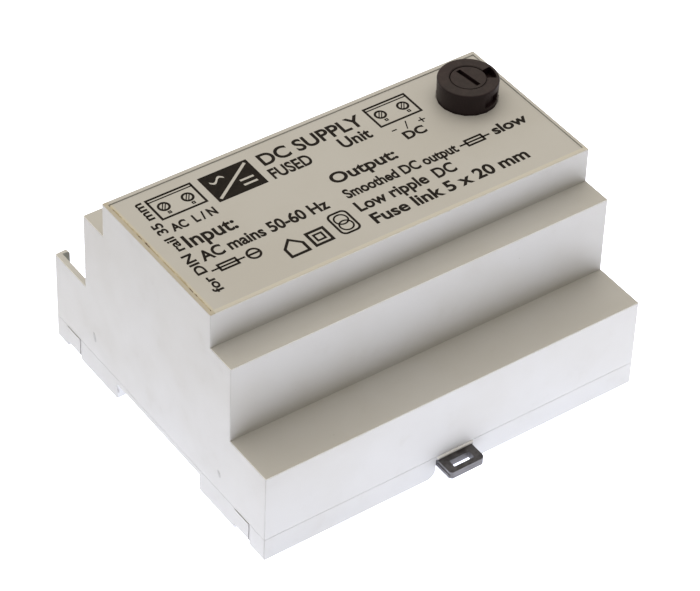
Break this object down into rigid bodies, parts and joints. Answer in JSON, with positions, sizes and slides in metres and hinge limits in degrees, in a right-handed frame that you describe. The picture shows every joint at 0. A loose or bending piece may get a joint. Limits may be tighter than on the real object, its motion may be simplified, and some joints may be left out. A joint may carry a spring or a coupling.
{
  "type": "din rail power supply",
  "caption": "Transformer power supply in a stepped light-grey plastic housing that clips onto a 35 mm DIN rail, with a top fuse holder and open screw terminals at the rear.",
  "frame": {"origin": "centre of the flat face that seats on the rail, midway along the housing", "axes": "+X along the rail, +Y across the rail from the latch towards the terminals, +Z away from the rail towards the label"},
  "size_m": [0.1064, 0.0953, 0.0625],
  "materials": {
    "housing_plastic": "fine moulded texture, light grey",
    "label_film": "satin printed film, grey",
    "latch_plastic": "black moulded plastic",
    "holder_plastic": "dark moulded plastic",
    "terminal_plastic": "green moulded plastic",
    "board_laminate": "paper laminate with solder resist",
    "bobbin_plastic": "black glass-filled plastic",
    "winding_tape": "yellow polyester tape",
    "black_insulation": "flexible wire insulation",
    "blue_insulation": "flexible wire insulation",
    "red_insulation": "flexible wire insulation",
    "capacitor_sleeve": "shrink sleeve over an aluminium can",
    "rectifier_epoxy": "moulded epoxy",
    "lamination_steel": "varnished lamination edges",
    "winding_copper": "enamelled copper wire",
    "plated_steel": "zinc plated",
    "contact_brass": "tinned brass",
    "fuse_glass": "clear glass tube"
  },
  "bodies": {
    "housing": {"upper_housing": "housing_plastic", "label_plate": "label_film", "base_tray": "housing_plastic", "core_e_stack": "lamination_steel", "core_i_stack": "lamination_steel", "bobbin": "bobbin_plastic", "primary_winding": "winding_copper", "secondary_winding": "winding_copper", "primary_tape": "winding_tape", "secondary_tape": "winding_tape", "thermal_cutout": "plated_steel", "core_bolt_1": "plated_steel", "core_bolt_2": "plated_steel", "core_bolt_3": "plated_steel", "core_bolt_4": "plated_steel", "circuit_board": "board_laminate", "bridge_rectifier": "rectifier_epoxy", "smoothing_capacitor_1": "capacitor_sleeve", "smoothing_capacitor_2": "capacitor_sleeve", "board_screw_1": "plated_steel", "board_screw_2": "plated_steel", "board_screw_3": "plated_steel", "input_terminal_block": "terminal_plastic", "output_terminal_block": "terminal_plastic", "terminal_contact_input_1": "contact_brass", "terminal_contact_input_2": "contact_brass", "terminal_contact_output_1": "contact_brass", "terminal_contact_output_2": "contact_brass", "fuse_holder_body": "holder_plastic", "fuse_holder_nut": "holder_plastic", "fuse_side_contact": "contact_brass", "fuse_end_contact": "contact_brass", "lead_primary_live": "black_insulation", "lead_primary_neutral": "blue_insulation", "lead_secondary_1": "red_insulation", "lead_secondary_2": "red_insulation", "lead_fuse_side": "black_insulation", "lead_fuse_end": "black_insulation"},
    "rail_latch": {"rail_latch": "latch_plastic"},
    "fuse_link": {"fuse_glass": "fuse_glass", "fuse_wire": "plated_steel", "fuse_cap_upper": "plated_steel", "fuse_cap_lower": "plated_steel"},
    "fuse_carrier": {"fuse_carrier": "holder_plastic"},
    "screw_input_1": {"terminal_screw_input_1": "plated_steel"},
    "cage_input_1": {"terminal_cage_input_1": "contact_brass"},
    "screw_input_2": {"terminal_screw_input_2": "plated_steel"},
    "cage_input_2": {"terminal_cage_input_2": "contact_brass"},
    "screw_output_1": {"terminal_screw_output_1": "plated_steel"},
    "cage_output_1": {"terminal_cage_output_1": "contact_brass"},
    "screw_output_2": {"terminal_screw_output_2": "plated_steel"},
    "cage_output_2": {"terminal_cage_output_2": "contact_brass"}
  },
  "joints": [
    {"name": "latch_slide", "type": "slide", "parent": "housing", "child": "rail_latch", "axis": [0, -1, 0], "range_m": [0, 0.0045], "stiffness_N_per_m": 1500, "springref_m": -0.003},
    {"name": "fuse_draw", "type": "slide", "parent": "housing", "child": "fuse_link", "axis": [0, 0, 1], "range_m": [0, 0.037]},
    {"name": "fuse_turn", "type": "hinge", "parent": "fuse_link", "child": "fuse_carrier", "pos_m": [0.04065, 0.0092, 0.05], "axis": [0, 0, 1], "range_deg": [0, 90]},
    {"name": "screw_turn_input_1", "type": "hinge", "parent": "housing", "child": "screw_input_1", "pos_m": [-0.04077, 0.03665, 0.0161], "axis": [0, 0, -1], "range_deg": [0, 1890]},
    {"name": "cage_rise_input_1", "type": "slide", "parent": "housing", "child": "cage_input_1", "axis": [0, 0, 1], "range_m": [0, 0.00263]},
    {"name": "screw_turn_input_2", "type": "hinge", "parent": "housing", "child": "screw_input_2", "pos_m": [-0.03442, 0.03665, 0.0161], "axis": [0, 0, -1], "range_deg": [0, 1890]},
    {"name": "cage_rise_input_2", "type": "slide", "parent": "housing", "child": "cage_input_2", "axis": [0, 0, 1], "range_m": [0, 0.00263]},
    {"name": "screw_turn_output_1", "type": "hinge", "parent": "housing", "child": "screw_output_1", "pos_m": [0.01943, 0.03665, 0.0161], "axis": [0, 0, -1], "range_deg": [0, 1890]},
    {"name": "cage_rise_output_1", "type": "slide", "parent": "housing", "child": "cage_output_1", "axis": [0, 0, 1], "range_m": [0, 0.00263]},
    {"name": "screw_turn_output_2", "type": "hinge", "parent": "housing", "child": "screw_output_2", "pos_m": [0.02577, 0.03665, 0.0161], "axis": [0, 0, -1], "range_deg": [0, 1890]},
    {"name": "cage_rise_output_2", "type": "slide", "parent": "housing", "child": "cage_output_2", "axis": [0, 0, 1], "range_m": [0, 0.00263]}
  ],
  "couplings": [
    {"joint": "screw_turn_input_1", "follows": "cage_rise_input_1", "rad_per_m": 12566},
    {"joint": "screw_turn_input_2", "follows": "cage_rise_input_2", "rad_per_m": 12566},
    {"joint": "screw_turn_output_1", "follows": "cage_rise_output_1", "rad_per_m": 12566},
    {"joint": "screw_turn_output_2", "follows": "cage_rise_output_2", "rad_per_m": 12566}
  ]
}
